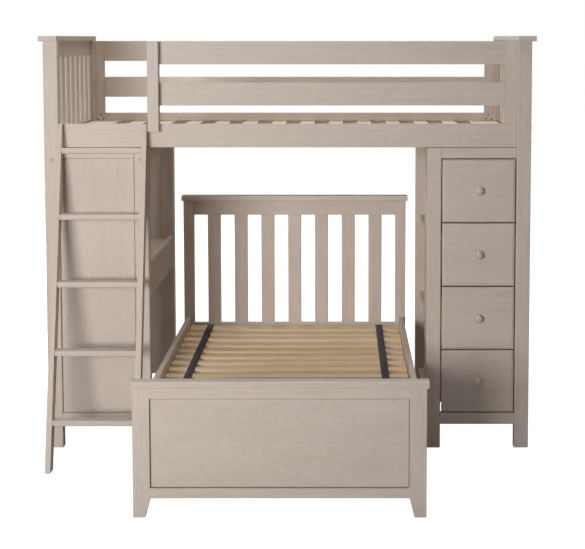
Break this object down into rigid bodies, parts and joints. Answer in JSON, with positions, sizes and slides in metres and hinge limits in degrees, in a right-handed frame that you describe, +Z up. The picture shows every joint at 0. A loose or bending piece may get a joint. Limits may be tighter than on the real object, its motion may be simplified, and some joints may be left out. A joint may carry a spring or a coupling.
{
  "type": "l-shaped loft bed",
  "caption": "Wooden loft bed with guard rails and a raked ladder over a desk and a chest with bookcase, and a lower bed set square beneath it.",
  "frame": {"origin": "on the floor at the middle of the footprint of loft and lower bed together", "axes": "+X to the right seen from the ladder side, +Y to the back of the loft, +Z up"},
  "size_m": [2.058, 2.127, 1.733],
  "materials": {
    "stone_washed_wood": "matt stone-wash stain with brushed grain",
    "bare_wood": "unfinished sanded softwood",
    "black_webbing": "flat woven webbing",
    "zinc_steel": "satin zinc plate"
  },
  "bodies": {
    "frame": {"barrel_nuts": "zinc_steel", "bed_bolts": "zinc_steel", "bookcase_back_panel": "stone_washed_wood", "bookcase_shelves": "stone_washed_wood", "chest_frame_rails": "stone_washed_wood", "chest_partition": "stone_washed_wood", "chest_side_panel": "stone_washed_wood", "chest_stiles": "stone_washed_wood", "corner_plates": "stone_washed_wood", "desk_apron": "stone_washed_wood", "desk_frame_rails": "stone_washed_wood", "desk_panel_back": "stone_washed_wood", "desk_panel_front": "stone_washed_wood", "desk_side_rails": "stone_washed_wood", "desk_stiles": "stone_washed_wood", "desk_top": "stone_washed_wood", "drawer_runners": "bare_wood", "end_bottom_rails": "stone_washed_wood", "end_cap_left": "stone_washed_wood", "end_cap_right": "stone_washed_wood", "end_slats": "stone_washed_wood", "end_top_rails": "stone_washed_wood", "footboard_cap": "stone_washed_wood", "footboard_legs": "stone_washed_wood", "footboard_panel": "stone_washed_wood", "footboard_rails": "stone_washed_wood", "guard_rails_back": "stone_washed_wood", "guard_rails_front": "stone_washed_wood", "guard_stile_entry": "stone_washed_wood", "guard_stiles": "stone_washed_wood", "headboard_cap": "stone_washed_wood", "headboard_posts": "stone_washed_wood", "headboard_rails": "stone_washed_wood", "headboard_slats": "stone_washed_wood", "ladder_rails": "stone_washed_wood", "ladder_treads": "stone_washed_wood", "long_rail_back": "stone_washed_wood", "long_rail_front": "stone_washed_wood", "lower_side_rails": "stone_washed_wood", "lower_slats": "bare_wood", "post_back_left": "stone_washed_wood", "post_back_right": "stone_washed_wood", "post_front_left": "stone_washed_wood", "post_front_right": "stone_washed_wood", "slat_cleats": "bare_wood", "slat_straps": "black_webbing", "storage_outer_panel": "stone_washed_wood", "upper_slats": "bare_wood"},
    "drawer_1": {"drawer_front_1": "stone_washed_wood", "drawer_box_1": "bare_wood", "drawer_knob_1": "stone_washed_wood"},
    "drawer_2": {"drawer_front_2": "stone_washed_wood", "drawer_box_2": "bare_wood", "drawer_knob_2": "stone_washed_wood"},
    "drawer_3": {"drawer_front_3": "stone_washed_wood", "drawer_box_3": "bare_wood", "drawer_knob_3": "stone_washed_wood"},
    "drawer_4": {"drawer_front_4": "stone_washed_wood", "drawer_box_4": "bare_wood", "drawer_knob_4": "stone_washed_wood"}
  },
  "joints": [
    {"name": "drawer_1_slide", "type": "slide", "parent": "frame", "child": "drawer_1", "axis": [0, -1, 0], "range_m": [0, 0.36]},
    {"name": "drawer_2_slide", "type": "slide", "parent": "frame", "child": "drawer_2", "axis": [0, -1, 0], "range_m": [0, 0.36]},
    {"name": "drawer_3_slide", "type": "slide", "parent": "frame", "child": "drawer_3", "axis": [0, -1, 0], "range_m": [0, 0.36]},
    {"name": "drawer_4_slide", "type": "slide", "parent": "frame", "child": "drawer_4", "axis": [0, -1, 0], "range_m": [0, 0.36]}
  ]
}
